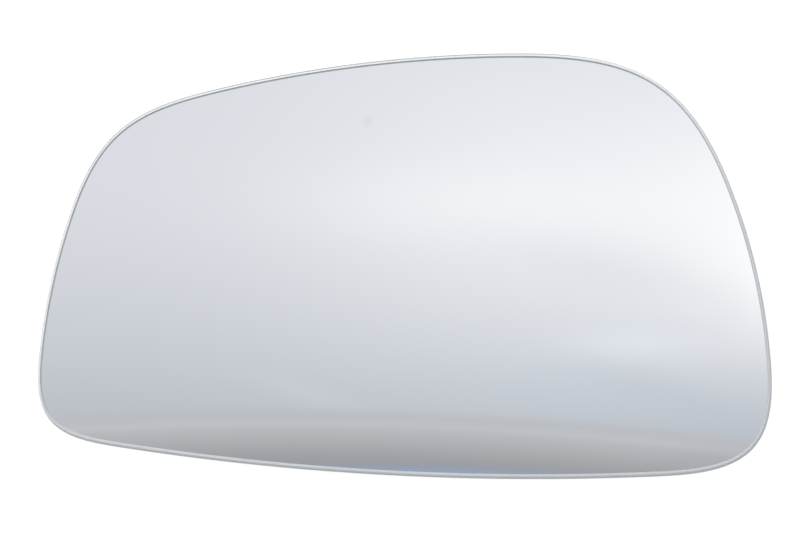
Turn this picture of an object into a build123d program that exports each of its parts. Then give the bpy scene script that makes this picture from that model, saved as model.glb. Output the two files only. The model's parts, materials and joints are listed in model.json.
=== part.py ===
from build123d import *
import os

# Door mirror glass: one bent sheet that lies with its reflecting face up.
# +X runs to the tall end, +Y to the upper side and +Z out of the reflecting face.
# Millimetres. The origin is the middle of the footprint, at the lowest point of the rim.

# The sheet, its bend and the flat that the ground rim keeps between its two rounds
thickness = 2.0
face_radius = 1250.0
rim_flat = 0.2

# Sharp corners in which the four bowed sides would meet, in plan:
# how far each lies from the middle of the glass, along it and across it
low_short_reach = 90.3
low_short_drop = 41.1
low_tall_reach = 89.3
low_tall_drop = 49.5
high_tall_reach = 64.5
high_tall_rise = 49.8
high_short_reach = 72.1
high_short_rise = 36.7

# Rise of each side over the straight line between its corners
low_bow = 5.9
tall_bow = 9.1
high_bow = 7.2
short_bow = 5.1

# Length that each eased corner takes up on both of its sides
low_short_ease = 19.0
low_tall_ease = 25.3
high_tall_ease = 34.1
high_short_ease = 25.4

# Share of its ease along which a corner still heads for its sharp point
corner_fullness = 0.8

# Turn that lays the pole axis of a ball flat, so no pole or seam crosses the glass
flat_poles = (90, 0, 0)

corners = [
    (-low_short_reach, -low_short_drop),
    (low_tall_reach, -low_tall_drop),
    (high_tall_reach, high_tall_rise),
    (-high_short_reach, high_short_rise),
]
bows = [low_bow, tall_bow, high_bow, short_bow]
eases = [low_short_ease, low_tall_ease, high_tall_ease, high_short_ease]


def following(items):
    """The same items, each moved one place on round the outline."""
    return items[1:] + items[:1]


with BuildSketch() as plan:
    with BuildLine():
        # Bowed sides, anticlockwise from the lower one, cut back for their corners
        runs = []
        for start, end, bow, ease, next_ease in zip(
            corners, following(corners), bows, eases, following(eases)
        ):
            side = SagittaArc(start, end, -bow, mode=Mode.PRIVATE)
            run = side.trim(ease / side.length, 1 - next_ease / side.length)
            add(run)
            runs.append(run)
        # Eased corners, tangent to the sides that they join
        turns = []
        for run, next_run, ease in zip(runs, following(runs), following(eases)):
            reach = ease * corner_fullness
            turns.append(
                Bezier(
                    run @ 1,
                    run @ 1 + run % 1 * reach,
                    next_run @ 0 - next_run % 0 * reach,
                    next_run @ 0,
                )
            )
        # The crown of the bend stands over the middle of the circle through the three
        # outermost corners, so the glass rests level on them
        low_tall_turn, high_tall_turn, high_short_turn, low_short_turn = turns
        rest_circle = ThreePointArc(
            low_short_turn @ 0.5,
            low_tall_turn @ 0.5,
            high_tall_turn @ 0.5,
            mode=Mode.PRIVATE,
        )
        crown = rest_circle.arc_center
    make_face()

# Depth of a block that holds the whole bent sheet
block_depth = thickness + plan.sketch.bounding_box().diagonal ** 2 / (2 * face_radius)

with BuildPart() as bent_sheet:
    add(plan.sketch)
    extrude(amount=-block_depth)
    with Locations((crown.X, crown.Y, -face_radius)):
        Sphere(face_radius, rotation=flat_poles, mode=Mode.INTERSECT)
        Sphere(face_radius - thickness, rotation=flat_poles, mode=Mode.SUBTRACT)
    # Rim ground round from both faces
    rims = bent_sheet.faces().filter_by(GeomType.SPHERE).edges()
    fillet(rims, (thickness - rim_flat) / 2)

footprint = bent_sheet.part.bounding_box()

with BuildPart() as mirror_glass:
    with Locations((-footprint.center().X, -footprint.center().Y, -footprint.min.Z)):
        add(bent_sheet.part)

mirror_glass.part.label = "mirror_glass"
os.makedirs("parts", exist_ok=True)
export_step(mirror_glass.part, "parts/mirror_glass.step")
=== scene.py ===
import json
import logging
import math
from dataclasses import dataclass, replace
from enum import IntEnum

import bpy
import numpy as np
from mathutils import Matrix, Vector
from mathutils.geometry import convex_hull_2d


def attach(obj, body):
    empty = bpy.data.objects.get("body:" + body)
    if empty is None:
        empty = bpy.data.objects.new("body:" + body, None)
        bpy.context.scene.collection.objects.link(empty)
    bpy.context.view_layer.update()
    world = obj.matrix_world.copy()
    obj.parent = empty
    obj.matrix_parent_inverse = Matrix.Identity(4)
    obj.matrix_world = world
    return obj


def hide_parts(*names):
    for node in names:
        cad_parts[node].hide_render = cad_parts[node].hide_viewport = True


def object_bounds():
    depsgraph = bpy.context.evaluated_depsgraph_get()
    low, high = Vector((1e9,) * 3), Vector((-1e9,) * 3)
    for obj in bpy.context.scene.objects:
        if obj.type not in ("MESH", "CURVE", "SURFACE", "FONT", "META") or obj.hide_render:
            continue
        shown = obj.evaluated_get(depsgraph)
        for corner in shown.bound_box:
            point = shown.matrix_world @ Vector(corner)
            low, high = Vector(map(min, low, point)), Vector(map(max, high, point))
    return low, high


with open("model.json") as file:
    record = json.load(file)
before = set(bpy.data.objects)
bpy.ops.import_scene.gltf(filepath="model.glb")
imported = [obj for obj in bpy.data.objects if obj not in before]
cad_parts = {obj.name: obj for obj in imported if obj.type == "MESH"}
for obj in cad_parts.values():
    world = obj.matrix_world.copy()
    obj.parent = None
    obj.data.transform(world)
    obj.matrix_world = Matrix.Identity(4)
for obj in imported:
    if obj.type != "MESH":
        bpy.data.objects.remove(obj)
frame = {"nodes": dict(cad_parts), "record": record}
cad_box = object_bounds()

log = logging.getLogger("door_mirror_glass")

Colour = tuple[float, float, float]
Pair = tuple[float, float]
Triple = tuple[float, float, float]

BODY = "root"
RIM_TURN = "rim_turn"


@dataclass(frozen=True)
class Wire:
    """One output of a shader node, with arithmetic that adds Math nodes."""

    board: "Board"
    socket: bpy.types.NodeSocket

    def of(self, output: str) -> "Wire":
        """Another output of the same node."""
        return Wire(self.board, self.socket.node.outputs[output])

    def __add__(self, other: "Wire | float") -> "Wire":
        """Sum."""
        return self.board.math("ADD", self, other)

    def __radd__(self, other: float) -> "Wire":
        """Sum with the number first."""
        return self.board.math("ADD", other, self)

    def __sub__(self, other: "Wire | float") -> "Wire":
        """Difference."""
        return self.board.math("SUBTRACT", self, other)

    def __rsub__(self, other: float) -> "Wire":
        """Difference with the number first."""
        return self.board.math("SUBTRACT", other, self)

    def __mul__(self, other: "Wire | float") -> "Wire":
        """Product."""
        return self.board.math("MULTIPLY", self, other)

    def __rmul__(self, other: float) -> "Wire":
        """Product with the number first."""
        return self.board.math("MULTIPLY", other, self)

    def __truediv__(self, other: "Wire | float") -> "Wire":
        """Quotient."""
        return self.board.math("DIVIDE", self, other)

    def __rtruediv__(self, other: float) -> "Wire":
        """Quotient with the number first."""
        return self.board.math("DIVIDE", other, self)

    def __pow__(self, other: float) -> "Wire":
        """Power."""
        return self.board.math("POWER", self, other)

    def __rpow__(self, other: float) -> "Wire":
        """Power of a number."""
        return self.board.math("POWER", other, self)

    def at_least(self, low: float) -> "Wire":
        """The value, or a lowest one if that is more."""
        return self.board.math("MAXIMUM", self, low)

    def ease(self, start: float, end: float) -> "Wire":
        """Smooth step from 0 at start to 1 at end.

        Args:
            start: Value below which the step gives 0.
            end: Value above which the step gives 1.

        Returns:
            The wire of the step.
        """
        return self.board.node(
            "ShaderNodeMapRange",
            {"interpolation_type": "SMOOTHSTEP"},
            {"Value": self, "From Min": start, "From Max": end},
        )


class MixSocket(IntEnum):
    """Sockets of a Mix node that serve colours."""

    SHARE = 0
    START = 6
    END = 7
    RESULT = 2


@dataclass(frozen=True)
class Board:
    """The node tree of one material or of the world."""

    tree: bpy.types.NodeTree

    @classmethod
    def cleared(cls, owner: bpy.types.Material | bpy.types.World) -> "Board":
        """Empty node tree of a new material or world.

        Args:
            owner: The material or world.

        Returns:
            The board of its nodes.
        """
        owner.use_nodes = True
        owner.node_tree.nodes.clear()
        return cls(owner.node_tree)

    def node(
        self,
        kind: str,
        settings: dict[str, object] | None = None,
        sockets: dict[str | int, object] | None = None,
        output: str | int = 0,
    ) -> Wire:
        """Add a node of any kind.

        Args:
            kind: Blender's name of the node type.
            settings: Properties of the node, which are set first.
            sockets: Wires to link or values to set, by input name or number.
            output: Name or number of the output that is wanted.

        Returns:
            The wire of that output.
        """
        made = self.tree.nodes.new(kind)
        for name, value in (settings or {}).items():
            setattr(made, name, value)
        for key, value in (sockets or {}).items():
            self.feed(made.inputs[key], value)
        if not made.outputs:
            return Wire(self, made.inputs[0])
        return Wire(self, made.outputs[output])

    def feed(self, socket: bpy.types.NodeSocket, value: object) -> None:
        """Link a wire to an input, or set the input's own value.

        Args:
            socket: The input.
            value: A wire, a number, a vector or a colour without alpha.
        """
        if isinstance(value, Wire):
            self.tree.links.new(value.socket, socket)
        elif socket.type == "RGBA":
            socket.default_value = (*value, 1.0)
        else:
            socket.default_value = value

    def place(self) -> Wire:
        """Coordinates on the object, in metres."""
        return self.node("ShaderNodeTexCoord", output="Object")

    def math(self, operation: str, first: Wire | float, second: Wire | float) -> Wire:
        """Add one Math node."""
        return self.node("ShaderNodeMath", {"operation": operation}, {0: first, 1: second})

    def vector(self, operation: str, first: Wire, second: Wire | Triple, output: str) -> Wire:
        """Add one Vector Math node and take its Vector or its Value."""
        sockets = {0: first, 1: second}
        return self.node("ShaderNodeVectorMath", {"operation": operation}, sockets, output)

    def blend(self, share: Wire | float, start: Wire | Colour, end: Wire | Colour) -> Wire:
        """Mix two colours by the share, from 0 to 1, that the second one has."""
        sockets = {MixSocket.SHARE: share, MixSocket.START: start, MixSocket.END: end}
        return self.node("ShaderNodeMix", {"data_type": "RGBA"}, sockets, MixSocket.RESULT)

    def noise(self, place: Wire, size: float, detail: float) -> Wire:
        """Soft noise from 0 to 1, with the rough size of one spot and a number of finer layers."""
        sockets = {"Vector": place, "Scale": 1 / size, "Detail": detail}
        return self.node("ShaderNodeTexNoise", None, sockets)

    def bump(self, height: Wire, depth: float = 1.0) -> Wire:
        """Normal of a surface that rises by a depth in metres where its height is 1."""
        return self.node("ShaderNodeBump", None, {"Height": height, "Distance": depth}, "Normal")


@dataclass(frozen=True)
class Finish:
    """Finish of one surface. Each kind lays out its own nodes. Sizes and depths are in metres."""

    name: str = "finish"

    def shader(self, board: Board) -> Wire:
        """Lay out the finish and give the wire of its shader."""
        raise NotImplementedError

    def material(self) -> bpy.types.Material:
        """Make the material of this finish.

        Returns:
            The new material.
        """
        made = bpy.data.materials.new(self.name)
        board = Board.cleared(made)
        board.node("ShaderNodeOutputMaterial", None, {"Surface": self.shader(board)})
        return made


@dataclass(frozen=True)
class SilveredFace(Finish):
    """Polished front of the mirror, with the slight waves of bent glass and faint wipe marks.

    One small dull spot has its edge between two distances from its middle.
    """

    name: str = "silvered_face"
    tint: Colour = (0.90, 0.905, 0.915)
    dull: Colour = (0.845, 0.85, 0.86)
    spot: Triple = (-0.0078, 0.0353, 0.0045)
    spot_edge: Pair = (0.0004, 0.0022)
    polish: float = 0.01
    smear: float = 0.02
    smear_size: float = 0.03
    smear_detail: float = 4.0
    smear_range: Pair = (0.55, 0.8)
    wave_size: float = 0.05
    wave_detail: float = 0.0
    wave_depth: float = 1.2e-5

    def shader(self, board: Board) -> Wire:
        """Lay out the finish.

        Args:
            board: The material's nodes.

        Returns:
            The wire of the finished shader.
        """
        place = board.place()
        smear = board.noise(place, self.smear_size, self.smear_detail).ease(*self.smear_range)
        waves = board.noise(place, self.wave_size, self.wave_detail)
        clean = board.vector("DISTANCE", place, self.spot, "Value").ease(*self.spot_edge)
        return board.node(
            "ShaderNodeBsdfPrincipled",
            None,
            {
                "Base Color": board.blend(clean, self.dull, self.tint),
                "Metallic": 1.0,
                "Roughness": self.polish + self.smear * smear,
                "Normal": board.bump(waves, self.wave_depth),
            },
        )


@dataclass(frozen=True)
class CoatSeam(Finish):
    """Narrow ring beside the face where the silver coat stops short of the rim."""

    name: str = "coat_seam"
    dark: Colour = (0.545, 0.56, 0.57)
    light: Colour = (0.615, 0.63, 0.64)
    fray_size: float = 0.0012
    fray_detail: float = 2.0
    roughness: float = 0.4

    def shader(self, board: Board) -> Wire:
        """Lay out the finish.

        Args:
            board: The material's nodes.

        Returns:
            The wire of the finished shader.
        """
        fray = board.noise(board.place(), self.fray_size, self.fray_detail)
        return board.node(
            "ShaderNodeBsdfPrincipled",
            None,
            {
                "Base Color": board.blend(fray, self.dark, self.light),
                "Roughness": self.roughness,
            },
        )


@dataclass(frozen=True)
class GroundRim(Finish):
    """Pencil-ground rim: frosted glass with fine grain, and grinding lines that run along it.

    The lines are counted over a quarter turn of the rim.
    """

    name: str = "ground_rim"
    frost: Colour = (0.845, 0.85, 0.85)
    shade: Colour = (0.795, 0.805, 0.80)
    patch_size: float = 0.004
    patch_detail: float = 3.0
    line_count: float = 14.0
    line_length: float = 0.008
    line_detail: float = 3.0
    line_depth: float = 6e-5
    grain_size: float = 0.00012
    grain_detail: float = 2.0
    grain_depth: float = 6e-6
    roughness: float = 0.42
    dullness: float = 0.2

    def shader(self, board: Board) -> Wire:
        """Lay out the finish.

        Args:
            board: The material's nodes.

        Returns:
            The wire of the finished shader.
        """
        place = board.place()
        patches = board.noise(place, self.patch_size, self.patch_detail)
        grain = board.noise(place, self.grain_size, self.grain_detail)
        turn = board.node("ShaderNodeAttribute", {"attribute_name": RIM_TURN}, output="Fac")
        parts = board.node("ShaderNodeSeparateXYZ", None, {0: place})
        drawn = board.node(
            "ShaderNodeCombineXYZ",
            None,
            {
                "X": turn * self.line_count,
                "Y": parts.of("X") / self.line_length,
                "Z": parts.of("Y") / self.line_length,
            },
        )
        lines = board.noise(drawn, size=1.0, detail=self.line_detail)
        relief = self.line_depth * lines + self.grain_depth * grain
        return board.node(
            "ShaderNodeBsdfPrincipled",
            None,
            {
                "Base Color": board.blend((patches + lines) / 2, self.frost, self.shade),
                "Roughness": self.roughness + self.dullness * grain,
                "Normal": board.bump(relief),
            },
        )


@dataclass(frozen=True)
class RimPaintedShade(GroundRim):
    """Outer part of the ground rim, its darker tone painted shade where the rim faces outward and
    down.
    """

    name: str = "rim_painted_shade"
    frost: Colour = (0.43, 0.44, 0.435)
    shade: Colour = (0.37, 0.385, 0.38)


@dataclass(frozen=True)
class BackPaint(Finish):
    """Grey paint that guards the coat on the hollow back, with long streaks and a few specks."""

    name: str = "back_paint"
    paint: Colour = (0.30, 0.31, 0.325)
    thin: Colour = (0.335, 0.345, 0.36)
    speck: Colour = (0.27, 0.28, 0.295)
    stretch: Triple = (0.06, 1.0, 1.0)
    streak_size: float = 0.006
    streak_detail: float = 4.0
    streak_range: Pair = (0.3, 0.7)
    speck_size: float = 0.0012
    speck_detail: float = 0.0
    speck_range: Pair = (0.74, 0.8)
    peel_size: float = 0.0011
    peel_detail: float = 2.0
    peel_depth: float = 1.5e-5
    roughness: float = 0.38
    dullness: float = 0.15

    def shader(self, board: Board) -> Wire:
        """Lay out the finish.

        Args:
            board: The material's nodes.

        Returns:
            The wire of the finished shader.
        """
        place = board.place()
        drawn = board.vector("MULTIPLY", place, self.stretch, "Vector")
        streaks = board.noise(drawn, self.streak_size, self.streak_detail).ease(*self.streak_range)
        specks = board.noise(place, self.speck_size, self.speck_detail).ease(*self.speck_range)
        peel = board.noise(place, self.peel_size, self.peel_detail)
        coat = board.blend(streaks, self.paint, self.thin)
        return board.node(
            "ShaderNodeBsdfPrincipled",
            None,
            {
                "Base Color": board.blend(specks, coat, self.speck),
                "Roughness": self.roughness + self.dullness * streaks,
                "Normal": board.bump(peel, self.peel_depth),
            },
        )


@dataclass(frozen=True)
class FloorPaint(Finish):
    """Matt paint that looks white to the eye and in reflections, and takes a shadow."""

    name: str = "pale_floor"
    paint: Colour = (0.3, 0.3, 0.3)
    glow: float = 0.9

    def shader(self, board: Board) -> Wire:
        """Lay out the finish.

        Args:
            board: The material's nodes.

        Returns:
            The wire of the finished shader.
        """
        path = board.node("ShaderNodeLightPath")
        seen = path.of("Is Camera Ray") + path.of("Is Glossy Ray") + path.of("Is Transmission Ray")
        glow = board.node("ShaderNodeEmission", None, {"Strength": self.glow})
        matt = board.node("ShaderNodeBsdfDiffuse", None, {"Color": self.paint})
        lit = board.node("ShaderNodeAddShader", None, {0: matt, 1: glow})
        return board.node("ShaderNodeMixShader", None, {0: seen, 1: matt, 2: lit})


def add_object(name: str, data: bpy.types.ID) -> bpy.types.Object:
    """Put a new object into the scene.

    Args:
        name: Name of the object.
        data: Its mesh, lamp or camera.

    Returns:
        The object.
    """
    made = bpy.data.objects.new(name, data)
    bpy.context.scene.collection.objects.link(made)
    return made


class Surface(IntEnum):
    """Surfaces of the glass, numbered as its material slots."""

    FACE = 0
    SEAM = 1
    RIM = 2
    # The rim's outer band, painted darker as shade.
    PAINTED_SHADE = 3
    BACK = 4


@dataclass(frozen=True)
class Ring:
    """Points round the glass at one place of its section.

    The strip from this ring to the next is one surface. Where two surfaces meet in a crease,
    the strip after the ring has normals of its own. The turn is how far each point is round the
    rim, from 0 at the face to 2 at the back.
    """

    points: np.ndarray
    normals: np.ndarray
    strip: Surface
    creased: np.ndarray | None = None
    turn: np.ndarray | float = 0.0

    @property
    def onward(self) -> np.ndarray:
        """Normals of the strip after the ring."""
        return self.normals if self.creased is None else self.creased


def turn_between(start: np.ndarray, end: np.ndarray, share: np.ndarray) -> np.ndarray:
    """Unit vectors turned by a share, from 0 to 1, of the way from one direction to another."""
    angle = np.arccos(np.clip((start * end).sum(axis=1), -1, 1))[:, None]
    return (np.sin((1 - share) * angle) * start + np.sin(share * angle) * end) / np.sin(angle)


@dataclass(frozen=True)
class RimRound:
    """One of the rim's two rounds: a quarter turn about a line of middle points.

    It goes from one direction to another, both unit vectors, one a row. The turns before it
    count the quarter turns from the face to its start.
    """

    middle: np.ndarray
    radius: float
    start: np.ndarray
    end: np.ndarray
    turns_before: int

    def ring(self, turn: np.ndarray, strip: Surface) -> Ring:
        """Ring part of the way round.

        Args:
            turn: How far round each point is, from 0 to 1, one a row.
            strip: Surface of the strip after the ring.

        Returns:
            The ring, with its true normals.
        """
        way = turn_between(self.start, self.end, turn)
        points = self.middle + self.radius * way
        return Ring(points, way, strip, turn=self.turns_before + turn)


def bridge(first: range, second: range) -> list[tuple[int, ...]]:
    """Faces between two neighbouring rings of vertices, or between a ring and one point.

    Args:
        first: Vertex numbers of one ring.
        second: Vertex numbers of the next, with as many, half as many or twice as many.

    Returns:
        The faces, which all wind the same way.
    """
    near, far = len(first), len(second)
    count = min(near, far) if min(near, far) > 1 else max(near, far)
    faces: list[tuple[int, ...]] = []
    for i in range(count):
        j = (i + 1) % count
        if near == 1:
            faces.append((first[0], second[i], second[j]))
        elif far == 1:
            faces.append((first[i], second[0], first[j]))
        elif near == far:
            faces.append((first[i], second[i], second[j], first[j]))
        elif near > far:
            middle, last = first[2 * i + 1], first[2 * j]
            faces.append((first[2 * i], second[i], middle))
            faces.append((middle, second[i], second[j]))
            faces.append((middle, second[j], last))
        else:
            middle, last = second[2 * i + 1], second[2 * j]
            faces.append((first[i], second[2 * i], middle))
            faces.append((first[i], middle, first[j]))
            faces.append((first[j], middle, last))
    return faces


@dataclass(frozen=True)
class GlassSheet:
    """The bent glass: a fine mesh with true normals that keeps the form of its solid.

    Sizes are in metres and angles in degrees. The outline and the crown of the bend come from
    the frame. The silver stops short of the rim by a gap. The rim is a quarter turn from each
    face to its flat. The seam takes the first part of that turn at the front, and its normals
    lean inward, more and more from ring to ring. Gap and seam are given for the short end, the
    tall end and the long sides. The lip takes the last part of the turn: a darker band painted on
    as shade. It is wide where the rim faces one side, given from +X, and narrows as the rim turns
    away from it, so that side's outer rim carries the most painted shade.
    """

    node: str = "mirror_glass"
    mount: str = "bonding_face"
    thickness: float = 0.002
    face_radius: float = 1.25
    rim_flat: float = 0.0002
    outline_count: int = 512
    outline_gap: float = 0.001
    knot_steps: int = 64
    cap_step: float = 0.0025
    cap_spacing: float = 0.00375
    rim_steps: int = 9
    painted_shade_steps: int = 4
    coat_gaps: Triple = (0.00026, 0.00016, 0.00032)
    seam_turns: Triple = (0.09, 0.04, 0.03)
    seam_leans: Triple = (25.0, 30.0, 35.0)
    # Where the lip, a band of painted shade, is widest, and how it narrows away from there.
    painted_shade_side: float = 120.0
    painted_shade_spread: Pair = (25.0, 85.0)
    painted_shade_turns: Pair = (0.33, 0.9)

    @property
    def name(self) -> str:
        """Name of the piece and of its mesh."""
        return self.node + "_sheet"

    def crown(self) -> Vector:
        """Deepest point of the hollow back, where the bend is level."""
        mounts = frame["record"]["mounts"]
        return next(Vector(m["pos_m"]) for m in mounts if m["name"] == self.mount)

    def outline(self) -> tuple[np.ndarray, np.ndarray]:
        """Even points round the solid's outline in plan.

        Returns:
            The points and their outward directions, both flat and anticlockwise.
        """
        plan = [v.co.xy for v in frame["nodes"][self.node].data.vertices]
        hull = np.array([plan[i] for i in convex_hull_2d(plan)])
        kept = [hull[0]]
        for point in hull[1:]:
            room = min(np.hypot(*(point - other)) for other in (kept[-1], hull[0]))
            if room > self.outline_gap:
                kept.append(point)
        smooth = self.smooth_loop(np.array(kept))
        ahead = np.roll(smooth, -1, axis=0)
        clockwise = (smooth[:, 0] * ahead[:, 1] - smooth[:, 1] * ahead[:, 0]).sum() < 0
        points = self.even_loop(smooth[::-1] if clockwise else smooth)
        along = np.roll(points, -1, axis=0) - np.roll(points, 1, axis=0)
        along /= np.linalg.norm(along, axis=1)[:, None]
        return points, np.column_stack((along[:, 1], -along[:, 0]))

    def smooth_loop(self, knots: np.ndarray) -> np.ndarray:
        """Close points of a smooth closed curve.

        Args:
            knots: Points that the curve goes through.

        Returns:
            Points along the curve, many to each knot.
        """
        ahead = np.roll(knots, -1, axis=0) - knots
        span = np.linalg.norm(ahead, axis=1)[:, None]
        before, last_span = np.roll(ahead, 1, axis=0), np.roll(span, 1, axis=0)
        slope = (ahead / span * last_span + before / last_span * span) / (span + last_span)
        start, end = slope * span, np.roll(slope, -1, axis=0) * span
        curve = [
            knots
            + t * start
            + t**2 * (3 * ahead - 2 * start - end)
            + t**3 * (start + end - 2 * ahead)
            for t in np.linspace(0, 1, self.knot_steps, endpoint=False)
        ]
        return np.stack(curve, axis=1).reshape(-1, 2)

    def even_loop(self, curve: np.ndarray) -> np.ndarray:
        """Evenly spaced points round a closed curve.

        Args:
            curve: Close points of the curve.

        Returns:
            As many points as the outline has.
        """
        closed = np.vstack((curve, curve[:1]))
        travel = np.concatenate(([0], np.linalg.norm(np.diff(closed, axis=0), axis=1).cumsum()))
        wanted = np.linspace(0, travel[-1], self.outline_count, endpoint=False)
        return np.column_stack([np.interp(wanted, travel, axis) for axis in closed.T])

    @staticmethod
    def by_side(values: Triple, outward: np.ndarray) -> np.ndarray:
        """A value that changes smoothly round the glass.

        Args:
            values: The value at the short end, at the tall end and at the long sides.
            outward: Outward directions of the points round the glass.

        Returns:
            The value at each point, one a row.
        """
        short, tall, sides = values
        ends = np.where(outward[:, :1] < 0, short, tall)
        return ends * outward[:, :1] ** 2 + sides * outward[:, 1:] ** 2

    def painted_shade_start(self, outward: np.ndarray) -> np.ndarray:
        """Share of the rim's turn at which the lip, the band of painted shade, begins.

        Args:
            outward: Outward directions of the points round the glass.

        Returns:
            The share at each point, one a row.
        """
        side = math.radians(self.painted_shade_side)
        aside = np.arccos(np.clip(outward @ (math.cos(side), math.sin(side)), -1, 1))
        return np.interp(np.degrees(aside), self.painted_shade_spread, self.painted_shade_turns)[:, None]

    @staticmethod
    def lifted(plan: np.ndarray, radius: float) -> np.ndarray:
        """Points of a flat plan, from the middle of a ball, moved up onto the ball."""
        return np.column_stack((plan, np.sqrt(radius**2 - (plan**2).sum(axis=1))))

    def cap(
        self, boundary: np.ndarray, centre: np.ndarray, radius: float, strip: Surface
    ) -> list[Ring]:
        """Rings on one face, from just inside its boundary to its middle.

        Every other point is dropped where the points of a ring would crowd.

        Args:
            boundary: Points of the face's boundary.
            centre: Centre of the ball that the face is part of.
            radius: Radius of that ball.
            strip: The surface that the face belongs to.

        Returns:
            The rings, of which the last is one point.
        """
        spokes = boundary[:, :2] - centre[:2]
        reach = np.linalg.norm(spokes, axis=1).mean()
        count = round(reach / self.cap_step)
        plans: list[np.ndarray] = []
        for i in range(1, count):
            share = 1 - i / count
            girth = 2 * math.pi * reach * share
            if 2 * girth / len(spokes) < self.cap_spacing:
                spokes = spokes[::2]
            plans.append(spokes * share)
        plans.append(np.zeros((1, 2)))
        side = 1 if strip is Surface.FACE else -1
        spreads = [self.lifted(plan, radius) for plan in plans]
        return [Ring(centre + spread, side * spread / radius, strip) for spread in spreads]

    def rings(self) -> list[Ring]:
        """All rings, from the middle of the face round the rim to the middle of the back.

        Returns:
            The rings in order.
        """
        crown = self.crown()
        back_radius = self.face_radius - self.thickness
        centre = np.array((crown.x, crown.y, crown.z - back_radius))
        bead = (self.thickness - self.rim_flat) / 2
        plan, outward = self.outline()
        wall = np.column_stack((outward, np.zeros(len(plan))))
        spine = plan - bead * outward - centre[:2]

        front = self.lifted(spine, self.face_radius - bead)
        back = self.lifted(spine, back_radius + bead)
        face_up = front / (self.face_radius - bead)
        back_down = -back / (back_radius + bead)
        upper = RimRound(centre + front, bead, face_up, wall, 0)
        lower = RimRound(centre + back, bead, wall, back_down, 1)

        gap = self.by_side(self.coat_gaps, outward)
        coat = self.lifted(spine - gap * outward, self.face_radius)
        leans = np.radians(self.seam_leans)
        leaning = [math.cos(a) * face_up - math.sin(a) * wall for a in leans]
        seam = [
            Ring(centre + coat, coat / self.face_radius, Surface.SEAM, leaning[0]),
            Ring(upper.middle + bead * face_up, leaning[1], Surface.SEAM),
        ]

        first = self.by_side(self.seam_turns, outward)
        last = self.painted_shade_start(outward)
        front_rim = [
            upper.ring(first + (last - first) * i / self.rim_steps, Surface.RIM)
            for i in range(self.rim_steps)
        ]
        front_rim[0] = replace(front_rim[0], normals=leaning[2], creased=front_rim[0].normals)
        # Lip rings, front and back: the rim's outer band, painted darker as shade.
        front_painted_shade = [
            upper.ring(last + (1 - last) * i / self.painted_shade_steps, Surface.PAINTED_SHADE)
            for i in range(self.painted_shade_steps + 1)
        ]
        back_painted_shade = [
            lower.ring((1 - last) * i / self.painted_shade_steps, Surface.PAINTED_SHADE)
            for i in range(self.painted_shade_steps)
        ]
        back_rim = [
            lower.ring(1 - last * (1 - i / self.rim_steps), Surface.RIM)
            for i in range(self.rim_steps)
        ]
        back_edge = lower.ring(np.ones_like(last), Surface.BACK)

        face = self.cap(seam[0].points, centre, self.face_radius, Surface.FACE)
        hollow = self.cap(back_edge.points, centre, back_radius, Surface.BACK)
        rim = [*seam, *front_rim, *front_painted_shade, *back_painted_shade, *back_rim, back_edge]
        return [*reversed(face), *rim, *hollow]

    def mesh(self) -> bpy.types.Mesh:
        """Mesh of the whole glass.

        Returns:
            A closed mesh with a material number on each face and the true normals.
        """
        rings = self.rings()
        ends = np.cumsum([len(ring.points) for ring in rings]).tolist()
        numbers = [range(end - len(ring.points), end) for ring, end in zip(rings, ends)]
        faces: list[tuple[int, ...]] = []
        surfaces: list[int] = []
        normals: list[np.ndarray] = []
        for i, (first, second) in enumerate(zip(numbers, numbers[1:])):
            strip = bridge(first, second)
            faces.extend(strip)
            surfaces.extend([int(rings[i].strip)] * len(strip))
            both = np.vstack((rings[i].onward, rings[i + 1].normals))
            normals.extend(both[[v - first.start for face in strip for v in face]])
        made = bpy.data.meshes.new(self.name)
        made.from_pydata(np.vstack([ring.points for ring in rings]).tolist(), [], faces)
        made.polygons.foreach_set("material_index", surfaces)
        turns = [np.broadcast_to(np.ravel(ring.turn), len(ring.points)) for ring in rings]
        rim_turn = made.attributes.new(RIM_TURN, "FLOAT", "POINT")
        rim_turn.data.foreach_set("value", np.concatenate(turns))
        made.shade_smooth()
        made.normals_split_custom_set(np.array(normals))
        return made

    def dress(self, piece: bpy.types.Object) -> None:
        """Give the glass its finishes, in the order of its surfaces."""
        # The fourth finish is the rim's outer band, painted darker as shade.
        for finish in (SilveredFace(), CoatSeam(), GroundRim(), RimPaintedShade(), BackPaint()):
            piece.data.materials.append(finish.material())

    def build(self) -> bpy.types.Object:
        """Make the glass, dress it and let it stand for its solid.

        Returns:
            The finished piece.
        """
        made = add_object(self.name, self.mesh())
        self.dress(made)
        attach(made, BODY)
        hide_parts(self.node)
        return made


@dataclass(frozen=True)
class SoftPatch:
    """A soft-edged patch of light or shade overhead.

    Places and sizes are in metres on a level ceiling one metre up, and the turn is in degrees.
    """

    middle: Pair
    size: Pair
    colour: Colour
    strength: float = 1.0
    turn: float = 0.0

    def over(self, board: Board, place: Wire, sky: Wire) -> Wire:
        """Lay the patch over the sky.

        Args:
            board: The world's nodes.
            place: Place on the ceiling.
            sky: Colour without the patch.

        Returns:
            The wire of the colour with the patch.
        """
        fitted = board.node(
            "ShaderNodeMapping",
            {"vector_type": "TEXTURE"},
            {
                "Vector": place,
                "Location": (*self.middle, 0.0),
                "Rotation": (0.0, 0.0, math.radians(self.turn)),
                "Scale": (*self.size, 1.0),
            },
        )
        apart = board.vector("DOT_PRODUCT", fitted, fitted, "Value")
        return board.blend(self.strength * math.exp(-1) ** apart, sky, self.colour)


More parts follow.
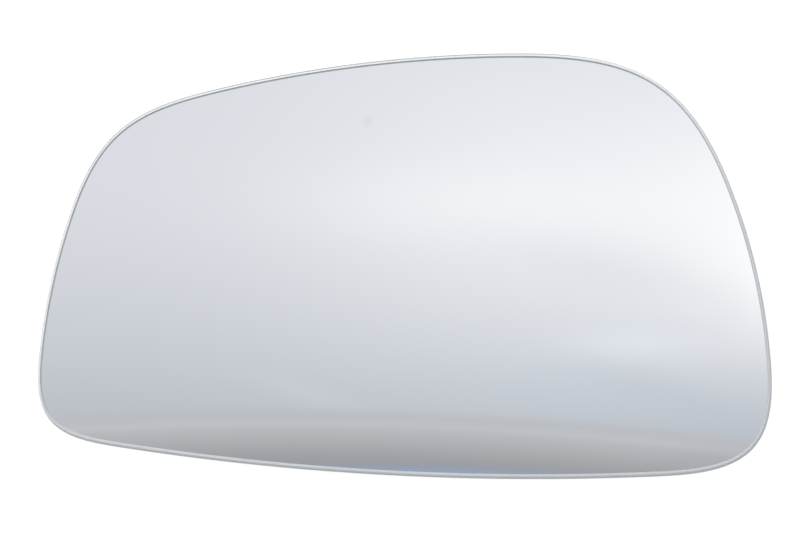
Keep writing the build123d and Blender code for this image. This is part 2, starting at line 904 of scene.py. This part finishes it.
@dataclass(frozen=True)
class SoftSky:
    """Soft light from all round: a pale ceiling with patches, and a grey side below its edge.

    Places are in metres on a level ceiling one metre up. The ceiling pales from dusk to day
    along +Y. Its edge is bowed and soft. Depths below the edge say where the strip, the ledge,
    the deep side and the far side lie. The dome round the ceiling and the haze low down are
    ranges of a direction's upward share, from 0 when level to 1 when straight up.
    """

    dusk: Colour = (0.325, 0.362, 0.405)
    day: Colour = (0.762, 0.785, 0.825)
    day_range: Pair = (-0.30, 0.19)
    patches: tuple[SoftPatch, ...] = (
        SoftPatch((0.10, 0.16), (0.28, 0.15), (0.91, 0.935, 0.965)),
        SoftPatch((0.07, 0.14), (0.175, 0.036), (0.985, 0.99, 1.01)),
        SoftPatch((0.27, 0.1225), (0.112, 0.10), (1.075, 1.075, 1.085)),
        SoftPatch((0.145, 0.016), (0.07, 0.018), (0.82, 0.845, 0.895)),
        SoftPatch((0.13, 0.076), (0.11, 0.022), (0.48, 0.50, 0.53), 0.1, -14.0),
        SoftPatch((0.17, -0.032), (0.09, 0.016), (0.40, 0.43, 0.47), 0.08, -18.0),
        SoftPatch((0.26, 0.065), (0.025, 0.05), (1.3, 1.3, 1.3), 0.15),
        SoftPatch((0.13, -0.033), (0.16, 0.03), (0.5, 0.64, 0.85), 0.1, -6.0),
        SoftPatch((-0.15, -0.033), (0.055, 0.009), (1.0, 1.0, 1.0), 0.08, -18.0),
    )
    dome: Colour = (0.44, 0.485, 0.545)
    dome_range: Pair = (0.68, 0.88)
    edge_at: float = -0.0475
    edge_middle: float = -0.16
    edge_bow: float = 0.165
    edge_soft: float = 0.0055
    strip: Colour = (0.55, 0.56, 0.585)
    strip_depth: float = 0.005
    ledge: Colour = (0.566, 0.579, 0.602)
    ledge_depths: Triple = (0.003, 0.0105, 0.0175)
    deep: Colour = (0.337, 0.338, 0.347)
    deep_depth: float = 0.057
    far: Colour = (0.23, 0.237, 0.247)
    far_depth: float = 0.5
    low_patches: tuple[SoftPatch, ...] = (
        SoftPatch((-0.037, -0.1035), (0.135, 0.0072), (0.335, 0.44, 0.62), 0.75, -1.6),
        SoftPatch((0.22, -0.089), (0.05, 0.011), (0.2, 0.2, 0.2), 0.12),
    )
    haze: Colour = (0.78, 0.78, 0.78)
    haze_range: Pair = (0.0, 0.75)
    least_rise: float = 0.02

    def below_edge(self, board: Board, depth: Wire) -> Wire:
        """Colour of the side below the ceiling's edge.

        Args:
            board: The world's nodes.
            depth: How far below the edge a place is.

        Returns:
            The wire of the colour.
        """
        near = board.blend(depth.ease(self.strip_depth, self.deep_depth), self.strip, self.deep)
        side = board.blend(depth.ease(self.deep_depth, self.far_depth), near, self.far)
        start, middle, end = self.ledge_depths
        on_ledge = depth.ease(start, middle) * (1 - depth.ease(middle, end))
        return board.blend(on_ledge, side, self.ledge)

    def build(self) -> bpy.types.World:
        """Make the world and light the scene with it.

        Returns:
            The world.
        """
        made = bpy.data.worlds.new("soft_sky")
        board = Board.cleared(made)
        way = board.node("ShaderNodeTexCoord", output="Generated")
        parts = board.node("ShaderNodeSeparateXYZ", None, {0: way})
        rise = parts.of("Z")
        height = rise.at_least(self.least_rise)
        across = parts.of("X") / height
        along = parts.of("Y") / height
        place = board.node("ShaderNodeCombineXYZ", None, {"X": across, "Y": along})

        sky = board.blend(along.ease(*self.day_range), self.dusk, self.day)
        for patch in self.patches:
            sky = patch.over(board, place, sky)
        sky = board.blend(rise.ease(*self.dome_range), self.dome, sky)

        depth = self.edge_at - self.edge_bow * (across - self.edge_middle) ** 2 - along
        below = depth.ease(-self.edge_soft, self.edge_soft)
        sky = board.blend(below, sky, self.below_edge(board, depth))
        for patch in self.low_patches:
            sky = patch.over(board, place, sky)
        sky = board.blend(rise.ease(*self.haze_range), self.haze, sky)

        light = board.node("ShaderNodeBackground", None, {"Color": sky})
        board.node("ShaderNodeOutputWorld", None, {"Surface": light})
        bpy.context.scene.world = made
        return made


@dataclass(frozen=True)
class SoftBox:
    """Large soft lamp beyond the upper side, which the mirror doesn't show. Metres and degrees.

    The level is how bright white paint is that faces the lamp at the glass.
    """

    turn: float = 28.0
    rise: float = 25.0
    distance: float = 1.5
    size: float = 0.9
    level: float = 0.85

    def build(self) -> bpy.types.Object:
        """Make the lamp, aimed at the middle of the glass.

        Returns:
            The lamp.
        """
        data = bpy.data.lights.new("soft_box", "AREA")
        data.size = self.size
        data.energy = self.level * (math.pi * self.distance) ** 2
        made = add_object("soft_box", data)
        turn, rise = math.radians(self.turn), math.radians(self.rise)
        flat = math.cos(rise)
        way = Vector((-math.sin(turn) * flat, math.cos(turn) * flat, math.sin(rise)))
        made.location = way * self.distance
        made.rotation_euler = way.to_track_quat("Z", "Y").to_euler()
        made.visible_camera = False
        made.visible_glossy = False
        return made


@dataclass(frozen=True)
class PaleFloor:
    """Plain white floor that keeps a faint shadow of the glass. Metres."""

    half_size: float = 4.0

    def build(self) -> bpy.types.Object:
        """Make the floor at the height that the glass rests on.

        Returns:
            The floor.
        """
        half, level = self.half_size, cad_box[0].z
        ways = ((-1, -1), (1, -1), (1, 1), (-1, 1))
        corners = [(x * half, y * half, level) for x, y in ways]
        sheet = bpy.data.meshes.new("floor")
        sheet.from_pydata(corners, [], [(0, 1, 2, 3)])
        sheet.materials.append(FloorPaint().material())
        made = add_object("floor", sheet)
        return made


@dataclass(frozen=True)
class OverheadCamera:
    """Camera that looks down on the glass from nearly straight above. Metres and degrees."""

    aim: Triple = (0.00016, -0.0004, 0.004)
    height: float = 0.4859
    lean_across: float = 4.0
    lean_along: float = -3.0
    lens: float = 90.0
    sensor: float = 36.0

    def build(self) -> bpy.types.Object:
        """Make the camera, with +Y up in its picture, and use it for the scene.

        Returns:
            The camera.
        """
        data = bpy.data.cameras.new("overhead_camera")
        data.lens = self.lens
        data.sensor_width = self.sensor
        made = add_object("overhead_camera", data)
        across, along = math.radians(self.lean_across), math.radians(self.lean_along)
        lean = Vector((math.tan(across), math.tan(along), 1))
        place = Vector(self.aim) + self.height * lean
        forward = -lean.normalized()
        right = forward.cross(Vector((0, 1, 0))).normalized()
        turn = Matrix((right, right.cross(forward), -forward)).transposed()
        made.matrix_world = Matrix.Translation(place) @ turn.to_4x4()
        bpy.context.scene.camera = made
        return made


def main() -> None:
    """Build the glass, its light, its floor and the camera."""
    logging.basicConfig(level=logging.INFO, format="%(name)s: %(message)s")
    bpy.context.scene.view_settings.view_transform = "Standard"
    glass = GlassSheet().build()
    log.info("%s: %d faces", glass.name, len(glass.data.polygons))
    sky = SoftSky().build()
    log.info("%s: %d nodes", sky.name, len(sky.node_tree.nodes))
    lamp = SoftBox().build()
    log.info("%s: %.1f W", lamp.name, lamp.data.energy)
    floor = PaleFloor().build()
    log.info("%s: level %.4f m", floor.name, cad_box[0].z)
    camera = OverheadCamera().build()
    log.info("%s: %.3f m up", camera.name, camera.location.z)


if __name__ == "__main__":
    main()
